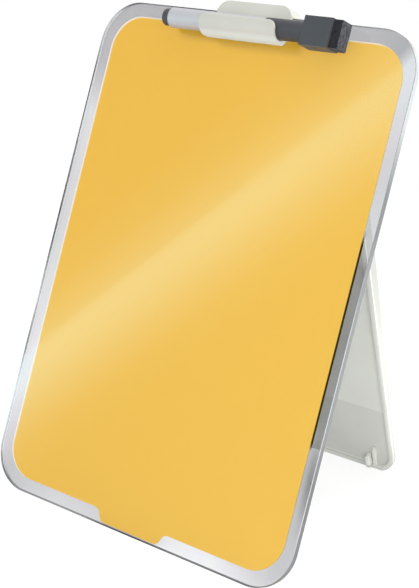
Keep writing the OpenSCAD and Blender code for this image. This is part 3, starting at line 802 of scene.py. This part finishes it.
def build_board():
    bevel = 0.2 * MM
    outline = rounded_outline(BOARD_W, BOARD_H, GLASS_CORNER_R, steps=32)
    glass = slab("glass_plate", outline,
                 [(bevel, 0), (0, -bevel), (0, bevel - GLASS_T), (bevel, -GLASS_T)],
                 bands=[0, 2, 1, 2, 3])
    finish_piece(glass, "board", "clear_glass", "glass_panel",
                 materials=[clear_glass(), glass_side(), glass_arris(), glass_back()])

    # The coat lies a hair inside the glass, as a fired coat has no air behind the glass.
    sunk = 0.03 * MM
    brown = steel_edge()
    coat = slab("yellow_coat", field_outline(),
                [(0, sunk - GLASS_T), (0, board_box("colour_layer")[0].z)], bands=[0, 1, 0])
    finish_piece(coat, "board", "colour_film", "colour_layer",
                 materials=[colour_coat(), brown])

    # The white behind it stands out a little past its left and upper edge.
    out_left, out_up = 0.9 * MM, 0.2 * MM
    w, h = BOARD_W - 2 * FIELD_MARGIN, BOARD_H - 2 * FIELD_MARGIN
    white_outline = [p - Vector((out_left, 0)) for p in
                     rounded_outline(w, h + out_up, FIELD_CORNER_R, bottom=FIELD_MARGIN)]
    white = slab("white_undercoat", white_outline,
                 [(0, sunk / 2 - GLASS_T), (0, board_box("bond_film")[0].z + 0.02 * MM)])
    finish_piece(white, "board", "bond_film", "bond_film", materials=[undercoat()])

    steel_low, steel_high = board_box("steel_sheet")
    edge = 0.12 * MM
    steel = slab("steel_backing", rounded_outline(w, h, FIELD_CORNER_R, bottom=FIELD_MARGIN),
                 [(STEEL_INSET, steel_high.z), (STEEL_INSET, steel_low.z + edge),
                  (STEEL_INSET + edge, steel_low.z)], bands=[0, 1, 0, 0])
    finish_piece(steel, "board", "coated_steel", "steel_sheet",
                 materials=[coated_steel(), brown])


def stand_edge_weight(place):
    """Full rounding along the front of the stand's outline, a quarter on its other edges."""
    place = TO_STAND @ place
    r = STAND_CORNER_R
    past = Vector((max(0, abs(place.x) - STAND_W / 2 + r), max(0, r - STAND_LEN - place.y)))
    return 1.0 if past.length > r - 0.05 * MM and place.z > 3 * MM else 0.26


def build_back():
    """What is bonded on the board's back, with its pins, and the stand."""
    cream = moulded_plastic("cream_base", CREAM, 0.45)
    foam = foam_tape()
    pin = turned_steel("pin_steel", (0.62, 0.61, 0.60), 0.28)
    base = rounded_copy("hinge_base", "hinge_base_plate", 0.4 * MM)
    finish_piece(base, "board", "cream_plastic", "hinge_base", materials=[cream])
    tape = rounded_copy("hinge_tape", "hinge_foam_tape", 0.08 * MM, segments=1)
    finish_piece(tape, "board", "foam_tape", "hinge_tape", materials=[foam])
    for side in ("left", "right"):
        node = "hinge_pin_" + side
        rod = rounded_copy(node, "stand_pin_" + side, 0.3 * MM)
        finish_piece(rod, "stand", "steel_pin", node, materials=[pin])
    stand = rounded_copy("easel_stand", "stand_tray", 1.6 * MM, segments=4,
                         weight_of=stand_edge_weight)
    finish_piece(stand, "stand", "cream_plastic", "easel_stand", materials=[stand_plastic()])
    plate = rounded_copy("clip_base", "clip_base_plate", 0.3 * MM)
    finish_piece(plate, "board", "cream_plastic", "clip_base", materials=[cream])
    tape = rounded_copy("clip_tape", "clip_foam_tape", 0.08 * MM, segments=1)
    finish_piece(tape, "board", "foam_tape", "clip_tape", materials=[foam])
    rod = rounded_copy("clip_pin", "clip_hinge_pin", 0.2 * MM)
    finish_piece(rod, "board", "steel_pin", "clip_pin", materials=[pin])


# ---------------------------------------------------------------- the clip and its spring

def build_clip():
    clip = rounded_copy("pen_clip", "clip_body", 0.35 * MM)
    # Painted light: paler towards the back, on the hood behind the pen, and a pale painted highlight low on
    # the clip.
    cream = moulded_plastic("cream_clip", CREAM, 0.40, grain=0.3 * MM,
                            painted_light_depth=(6 * MM, 2.5 * MM, 1.16),
                            low=(BOARD_H - 14 * MM, BOARD_H - 17.2 * MM, (0.77, 0.83, 0.81)))
    finish_piece(clip, "clip", "cream_plastic", "pen_clip", materials=[cream])


def build_spring():
    """The torsion spring: a leg on the base plate, its turns, a leg under the hood's roof."""
    half = SPRING_TURNS * SPRING_PITCH / 2
    coil_r = CLIP_PIN_R + SPRING_WIRE_R + SPRING_PIN_GAP
    # The two faces its legs lie on, counted from the pivot, and each leg's end.
    plate_z, roof_y = -0.8 * MM, 2.6 * MM
    off_face = SPRING_WIRE_R + 0.05 * MM
    down_y, down_z = board_box("clip_spring")[0].y - CLIP_PIVOT.y + 0.02 * MM, plate_z - off_face
    up_y, up_z = roof_y - off_face, -3.2 * MM
    path = [Vector((-half, down_y, down_z)),
            Vector((-half, -coil_r, (down_z - 2 * coil_r) / 3))]
    first, last = 262, 250 + 360 * SPRING_TURNS
    steps = 24 * SPRING_TURNS
    for i in range(steps + 1):
        a = math.radians(first + (last - first) * i / steps)
        path.append(Vector((-half + 2 * half * i / steps,
                            coil_r * math.cos(a), coil_r * math.sin(a))))
    path.append(Vector((half, up_y, up_z)))
    curve = bpy.data.curves.new("spring_path", "CURVE")
    curve.dimensions = "3D"
    curve.bevel_depth = SPRING_WIRE_R
    curve.bevel_resolution = 4
    curve.use_fill_caps = True
    line = curve.splines.new("POLY")
    line.points.add(len(path) - 1)
    for point, place in zip(line.points, path):
        point.co = (*(BOARD @ (CLIP_PIVOT + place)), 1)
    wire = bpy.data.objects.new("spring_curve", curve)
    bpy.context.scene.collection.objects.link(wire)
    bpy.context.view_layer.update()
    mesh = bpy.data.meshes.new_from_object(wire)
    mesh.name = "clip_torsion_spring"
    bpy.data.objects.remove(wire)
    spring = bpy.data.objects.new("clip_torsion_spring", mesh)
    bpy.context.scene.collection.objects.link(spring)
    shade(spring, 60)
    spring.data.materials.append(turned_steel("spring_steel", (0.55, 0.55, 0.56), 0.25))
    centre, reach = BOARD @ CLIP_PIVOT, Vector((half, 0, 0))
    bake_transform(spring, "board", "clip", start=centre - reach, end=centre + reach)
    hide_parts("clip_spring")


# ---------------------------------------------------------------- the pen

def build_pen():
    low, high = board_box("pen_barrel")
    r = (high.y - low.y) / 2
    centre = Vector((0, (low.y + high.y) / 2, (low.z + high.z) / 2))
    wall, lip, end_r = 1.1 * MM, 0.25 * MM, 0.8 * MM
    bore = r - wall
    profile = [(low.x, bore), (low.x, r - end_r)]
    profile += [(low.x + end_r * (1 - math.cos(math.radians(a))),
                 r - end_r + end_r * math.sin(math.radians(a))) for a in range(10, 91, 10)]
    profile += [(high.x - lip, r), (high.x, r - lip), (high.x, bore), (low.x + 0.1 * MM, bore)]
    barrel = lathe("pen_barrel_tube", profile, centre)
    finish_piece(barrel, "pen", "silver_barrel", "pen_barrel", materials=[silver_barrel()])

    dark = moulded_plastic("dark_plug", (0.045, 0.047, 0.052), 0.45)
    plug = rounded_copy("pen_end_plug", "pen_end_cap", 0.15 * MM)
    finish_piece(plug, "pen", "dark_plastic", "pen_end_plug", materials=[dark])
    holder = rounded_copy("nib_holder", "nib_holder_sleeve", 0.15 * MM)
    black = moulded_plastic("black_holder", (0.022, 0.022, 0.025), 0.38)
    finish_piece(holder, "pen", "dark_plastic", "nib_holder", materials=[black])
    nib = rounded_copy("pen_nib", "pen_nib_felt", 0.1 * MM)
    finish_piece(nib, "pen", "nib_felt", "pen_nib",
                 materials=[felt("ink_felt", (0.008, 0.008, 0.01), (0.03, 0.03, 0.035), 0.2 * MM)])
    core = rounded_copy("ink_reservoir", "ink_reservoir_core", 0.3 * MM)
    finish_piece(core, "pen", "reservoir_fibre", "ink_reservoir", materials=[reservoir_fibre()])

    cap = rounded_copy("pen_cap", "pen_cap_block", 0.5 * MM, segments=3)
    # Painted light: the block's underside is paler and bluer, as lit from below.
    under = board_box("pen_cap")[0].y
    grey = moulded_plastic("grey_cap", DARK_GREY, 0.42, grain=0.3 * MM,
                           low=(under + 0.2 * MM, under + 0.1 * MM, (0.047, 0.069, 0.12)))
    finish_piece(cap, "cap", "grey_plastic", "pen_cap", materials=[grey])
    pad = rounded_copy("eraser_felt", "eraser_felt_pad", 0.7 * MM, segments=3)
    finish_piece(pad, "cap", "grey_felt", "eraser_felt",
                 materials=[felt("grey_felt", (0.006, 0.0065, 0.008), (0.030, 0.031, 0.036))])
    # The block leaves neither shadow nor mirror image on the board.
    for piece in (cap, pad):
        piece.visible_shadow = False
        piece.visible_glossy = False


# ---------------------------------------------------------------- camera, light and stage

def build_camera():
    camera = bpy.data.cameras.new("camera")
    camera.sensor_width = 36
    camera.lens = CAMERA_LENS
    camera.clip_start = 0.05
    camera.clip_end = 50
    seat = bpy.data.objects.new("camera", camera)
    bpy.context.scene.collection.objects.link(seat)
    seat.location = BOARD @ CAMERA_PLACE
    seat.rotation_euler = CAMERA_TURN
    bpy.context.scene.camera = seat


def build_world():
    """White to the camera, mirrors and glass; softer as a light on the object."""
    world = bpy.data.worlds.new("studio")
    bpy.context.scene.world = world
    world.use_nodes = True
    nodes, links = world.node_tree.nodes, world.node_tree.links
    path = nodes.new("ShaderNodeLightPath")
    seen = path.outputs["Is Camera Ray"]
    for kind in ("Is Glossy Ray", "Is Transmission Ray"):
        either = nodes.new("ShaderNodeMath")
        either.operation = "MAXIMUM"
        links.new(seen, either.inputs[0])
        links.new(path.outputs[kind], either.inputs[1])
        seen = either.outputs[0]
    strength = nodes.new("ShaderNodeMapRange")
    strength.inputs["To Min"].default_value = AMBIENT
    strength.inputs["To Max"].default_value = 1.0
    links.new(seen, strength.inputs["Value"])
    background = nodes["Background"]
    background.inputs["Color"].default_value = WHITE
    links.new(strength.outputs["Result"], background.inputs["Strength"])


def area_lamp(name, place, size, power):
    """A soft square lamp that lights the object and isn't mirrored in it."""
    light = bpy.data.lights.new(name, "AREA")
    light.shape = "SQUARE"
    light.size = size
    light.energy = power
    lamp = bpy.data.objects.new(name, light)
    bpy.context.scene.collection.objects.link(lamp)
    lamp.location = place
    lamp.rotation_euler = (Vector(LAMP_AIM) - Vector(place)).to_track_quat("-Z", "Y").to_euler()
    lamp.visible_glossy = False
    lamp.visible_transmission = False


def build_lamps():
    area_lamp("key", (-0.69, -1.09, 1.10), size=0.30, power=5.5)
    area_lamp("right", (1.6, 0.35, 0.5), size=1.2, power=12)
    area_lamp("front_right", (1.2, -1.1, 0.3), size=1.0, power=13)
    area_lamp("top", (0.1, 0.7, 1.6), size=0.6, power=14)


def flat_rectangle(name, x0, x1, y0, y1):
    """A flat piece of the stage, in its own axes."""
    corners = [(x0, y0, 0), (x1, y0, 0), (x1, y1, 0), (x0, y1, 0)]
    return add_piece(name, corners, [[0, 1, 2, 3]], Matrix.Identity(4))


def build_floor():
    """A white floor: it keeps a faint shadow near the object and fades to plain white."""
    shadow_to, white_from = 0.34, 0.75
    half = 12.0
    floor = flat_rectangle("floor", -half, half, -half, half)
    t = Tree("white_floor", axes=None)
    t.set(Base_Color=(0.27, 0.27, 0.27, 1), Roughness=0.9, Specular_IOR_Level=0.0)
    t.set(Emission_Color=WHITE, Emission_Strength=0.81)
    plain = t.node("ShaderNodeEmission")
    far = t.map(t.vector("LENGTH", t.place), shadow_to, white_from, smooth=True)
    seen = t.blend(far, t.shader.outputs[0], plain.outputs[0])
    lit = t.node("ShaderNodeBsdfDiffuse")
    lit.inputs["Color"].default_value = (0.82, 0.82, 0.82, 1)
    t.show(t.blend(t.seen_plainly(), lit.outputs[0], seen))
    floor.data.materials.append(t.material)


def build_gloss_card():
    """A bright strip out in front that only mirrors show: the diagonal sheen on the glass."""
    distance = 700 * MM
    low = Vector((-744.0 * MM, 11.2 * MM, distance))
    high = Vector((-315.2 * MM, 432.3 * MM, distance))
    along = (high - low).normalized()
    out = Vector((along.y, -along.x, 0))
    half_length, before, after = 1.2, 0.135, 0.2
    card = flat_rectangle("gloss_card", -half_length, half_length, -before, after)
    card.matrix_world = BOARD @ Matrix.Translation(low) @ Matrix((
        (along.x, out.x, 0, 0), (along.y, out.y, 0, 0), (0, 0, -1, 0), (0, 0, 0, 1)))
    # Its brightness across the strip, at steps from the sheen's upper edge.
    step, brightest, strength = 1.352 * MM, 3.2, 3.4
    hump = [(-100, 0), (-80, 0.02), (-40, 0.43), (-20, 1.0), (-10, 1.4), (-3, 1.75), (0, 2.3),
            (4, 2.95), (10, 3.2), (20, 3.1), (30, 2.7), (40, 2.2), (60, 1.25), (80, 0.45),
            (110, 0.08), (148, 0)]
    stops = [((x * step + before) / (before + after), v / brightest) for x, v in hump]
    t = Tree("gloss_strip", axes=None)
    glow = t.node("ShaderNodeEmission")
    glow.inputs["Color"].default_value = (0.35, 1.0, 0.97, 1)
    bright = t.ramp(t.map(t.axis("Y"), -before, after), stops)
    t.link(t.times(bright, strength), glow.inputs["Strength"])
    both = t.node("ShaderNodeAddShader")
    t.link(t.node("ShaderNodeBsdfTransparent").outputs[0], both.inputs[0])
    t.link(glow.outputs[0], both.inputs[1])
    t.show(both.outputs[0])
    card.data.materials.append(t.material)
    for sight in ("camera", "diffuse", "transmission", "shadow", "volume_scatter"):
        setattr(card, "visible_" + sight, False)


# ---------------------------------------------------------------- build

build_camera()
build_world()
build_lamps()
build_floor()
build_gloss_card()
build_board()
build_back()
build_clip()
build_spring()
build_pen()

bpy.context.scene.view_settings.view_transform = "Standard"

bpy.context.view_layer.update()
